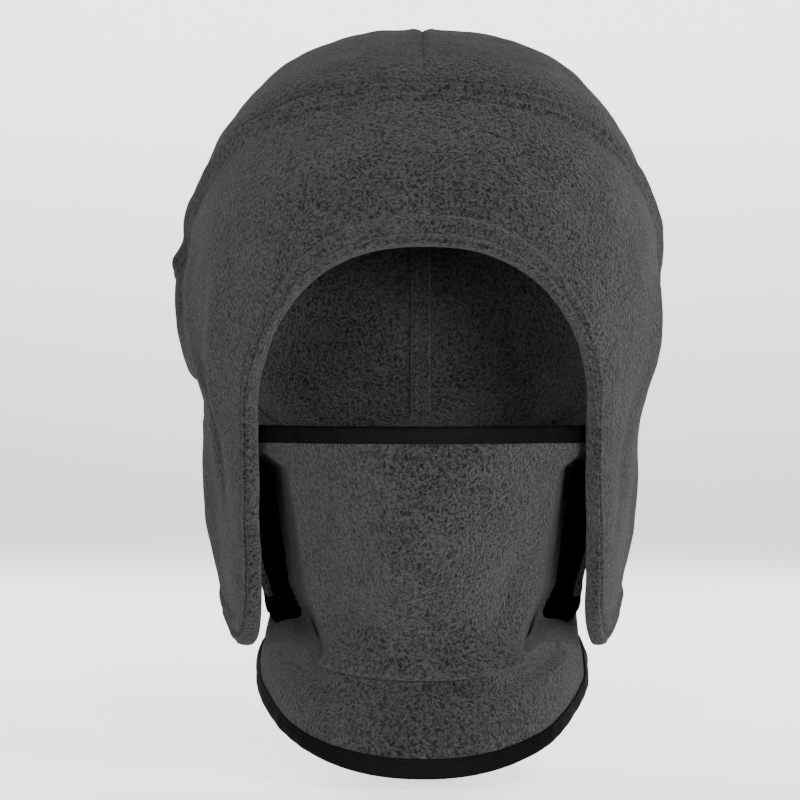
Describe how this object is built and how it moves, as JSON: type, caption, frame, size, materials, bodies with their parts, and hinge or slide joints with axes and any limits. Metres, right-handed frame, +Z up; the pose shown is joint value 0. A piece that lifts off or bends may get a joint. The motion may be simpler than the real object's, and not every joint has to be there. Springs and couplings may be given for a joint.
{
  "type": "fleece balaclava",
  "caption": "Fleece balaclava: a seamed hood with free cheek flaps round a face opening, over a pull-down face mask and a bound neck collar.",
  "frame": {"origin": "middle of the wearer's head, midway between the ears", "axes": "+Z up, the face looks along -Y, +X to the viewer's right when seen from the front"},
  "size_m": [0.2022, 0.2323, 0.311],
  "materials": {
    "fleece": "matte brushed fleece with a pebbled pile",
    "binding": "matte stretch tape",
    "thread": "matte spun thread"
  },
  "bodies": {
    "hood": {"right_crown": "fleece", "left_crown": "fleece", "crown_seam_welt": "fleece", "crown_seam_stitching": "thread", "band_seam_welt": "fleece", "band_seam_stitching": "thread", "brow_band": "fleece", "opening_hem": "fleece", "opening_stitching": "thread", "nape_hem": "fleece", "nape_stitching": "thread", "collar_front": "fleece", "collar_back": "fleece", "right_collar_seam_welt": "fleece", "left_collar_seam_welt": "fleece", "collar_binding": "binding", "collar_binding_stitching": "thread", "mask_panel": "fleece", "right_cheek_seam": "fleece", "left_cheek_seam": "fleece", "nape_seam": "fleece"},
    "right_flap": {"right_flap": "fleece", "right_flap_hem": "fleece", "right_flap_stitching": "thread"},
    "left_flap": {"left_flap": "fleece", "left_flap_hem": "fleece", "left_flap_stitching": "thread"},
    "mask_edge": {"mask_binding": "binding", "mask_binding_stitching": "thread"}
  },
  "joints": [
    {"name": "right_flap_fold", "type": "hinge", "parent": "hood", "child": "right_flap", "pos_m": [0.0885, -0.04, -0.04], "axis": [0, -1, 0], "range_deg": [0, 45]},
    {"name": "left_flap_fold", "type": "hinge", "parent": "hood", "child": "left_flap", "pos_m": [-0.0885, -0.04, -0.04], "axis": [0, 1, 0], "range_deg": [0, 45]},
    {"name": "mask_pull_down", "type": "hinge", "parent": "hood", "child": "mask_edge", "pos_m": [0, 0.004, -0.036], "axis": [1, 0, 0], "range_deg": [0, 38], "deforming": ["mask_panel"]}
  ]
}
